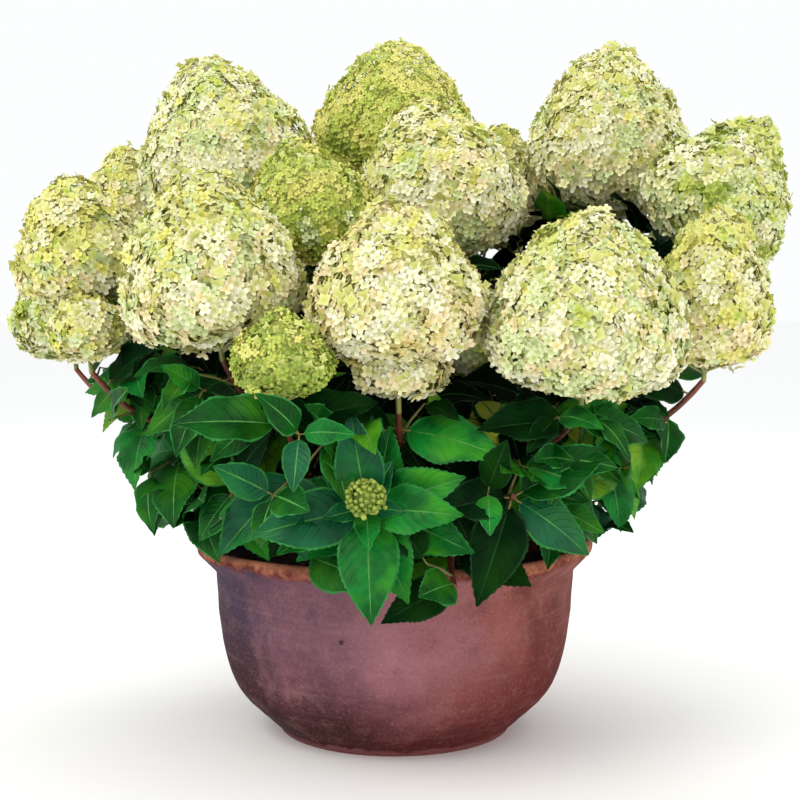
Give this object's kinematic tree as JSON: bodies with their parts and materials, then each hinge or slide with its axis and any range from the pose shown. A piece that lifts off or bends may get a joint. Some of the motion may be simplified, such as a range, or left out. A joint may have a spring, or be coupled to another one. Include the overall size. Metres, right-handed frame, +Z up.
{
  "type": "potted panicle hydrangea",
  "caption": "Flowering shrub with cone-shaped cream and lime flower heads over pointed green leaves, growing in a round terracotta bowl.",
  "frame": {"origin": "centre of the bowl's flat underside", "axes": "+Z up along the bowl's axis, the pictured front towards -Y, +X to the right seen from the front"},
  "size_m": [0.8855, 0.7716, 0.818],
  "materials": {
    "terracotta": "matt weathered terracotta",
    "soil": "dark crumbly potting soil",
    "bark": "reddish brown shrub bark",
    "leaves": "satin deep green leaves on reddish canes",
    "sepals_cream": "matt cream florets",
    "sepals_blush": "matt cream florets with a pink tinge",
    "sepals_yellow": "matt yellowish florets",
    "sepals_mint": "matt pale green florets",
    "sepals_lime": "matt lime green florets"
  },
  "bodies": {
    "root": {"bowl": "terracotta", "soil": "soil", "trunk": "bark", "flower_head_left": "sepals_yellow", "flower_head_left_low": "sepals_mint", "flower_head_left_small": "sepals_yellow", "flower_head_left_high": "sepals_yellow", "flower_head_left_back": "sepals_cream", "flower_head_top_left": "sepals_cream", "flower_head_back_left": "sepals_lime", "flower_head_top_back": "sepals_lime", "flower_head_back": "sepals_blush", "flower_head_top_right": "sepals_cream", "flower_head_high_right": "sepals_yellow", "flower_head_back_right": "sepals_mint", "flower_head_right": "sepals_yellow", "flower_head_right_high": "sepals_mint", "flower_head_right_back": "sepals_cream", "flower_head_front_right": "sepals_cream", "flower_head_middle_small": "sepals_mint", "flower_head_front": "sepals_blush", "flower_bud": "sepals_lime", "flower_head_front_left": "sepals_cream", "flower_head_front_small": "sepals_lime", "flower_head_top_middle": "sepals_cream", "flower_head_middle_left": "sepals_lime", "bough_left": "bark", "bough_left_back": "bark", "bough_back_left": "bark", "bough_back": "bark", "bough_back_right": "bark", "bough_right": "bark", "bough_front_right": "bark", "bough_front": "bark", "bough_front_left": "bark", "bough_middle": "bark", "foliage_left": "leaves", "foliage_left_back": "leaves", "foliage_back_left": "leaves", "foliage_back": "leaves", "foliage_back_right": "leaves", "foliage_right": "leaves", "foliage_front_right": "leaves", "foliage_front": "leaves", "foliage_front_left": "leaves", "foliage_middle": "leaves"}
  },
  "joints": []
}
